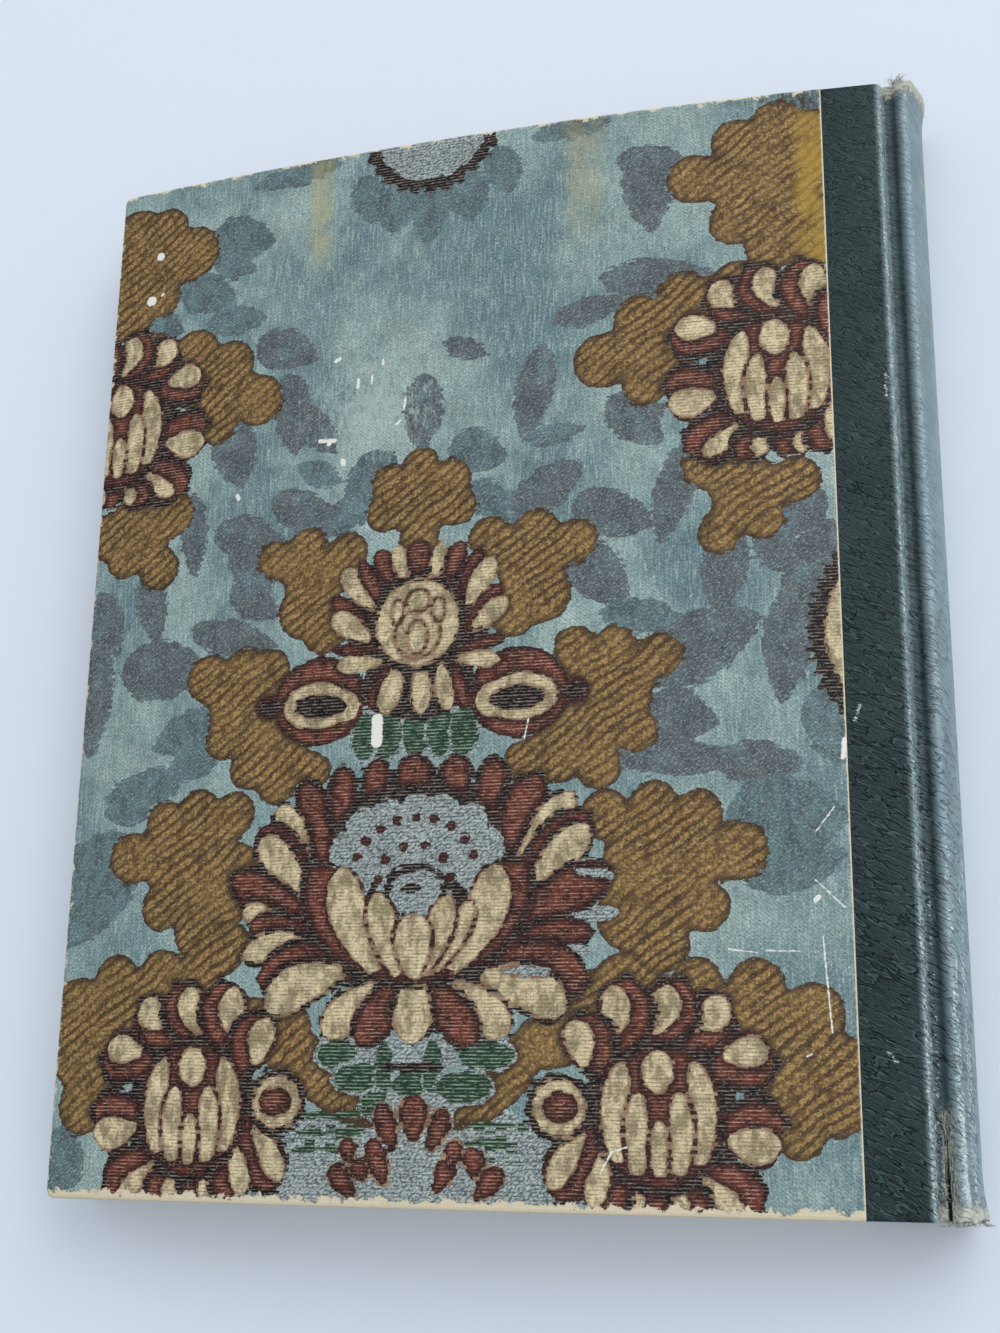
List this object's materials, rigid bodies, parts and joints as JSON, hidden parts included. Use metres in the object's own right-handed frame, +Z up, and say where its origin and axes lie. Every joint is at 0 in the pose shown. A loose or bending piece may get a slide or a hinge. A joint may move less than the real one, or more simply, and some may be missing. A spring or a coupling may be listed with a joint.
{
  "type": "hardback book",
  "caption": "Closed quarter-bound book: patterned paper boards, leathercloth spine with French grooves, rounded pages; both covers swing open.",
  "frame": {"origin": "middle of the footprint, on the surface the book lies on", "axes": "+X from the fore-edge to the spine, +Y from tail to head, +Z up, out of the back cover"},
  "size_m": [0.2141, 0.265, 0.028],
  "materials": {
    "brocade_paper": "printed, matt",
    "leathercloth": "grained, satin",
    "greyboard": "matt",
    "pages": "aged, matt",
    "endpaper": "aged, matt",
    "gauze": "open weave",
    "headband": "woven band",
    "spine_card": "matt"
  },
  "bodies": {
    "block": {"text_block": "pages", "spine_lining": "gauze", "headband_head": "headband", "headband_tail": "headband", "back_flyleaf": "endpaper", "front_flyleaf": "endpaper", "spine_inlay": "spine_card", "spine_cloth": "leathercloth"},
    "back_cover": {"back_board": "greyboard", "back_cover_paper": "brocade_paper", "back_cloth_strip": "leathercloth", "back_pastedown": "endpaper"},
    "front_cover": {"front_board": "greyboard", "front_cover_paper": "brocade_paper", "front_cloth_strip": "leathercloth", "front_pastedown": "endpaper"}
  },
  "joints": [
    {"name": "back_cover_hinge", "type": "hinge", "parent": "block", "child": "back_cover", "pos_m": [0.09963, 0, 0.02445], "axis": [0, 1, 0], "range_deg": [0, 180]},
    {"name": "front_cover_hinge", "type": "hinge", "parent": "block", "child": "front_cover", "pos_m": [0.09963, 0, -0.00025], "axis": [0, -1, 0], "range_deg": [0, 180]}
  ]
}
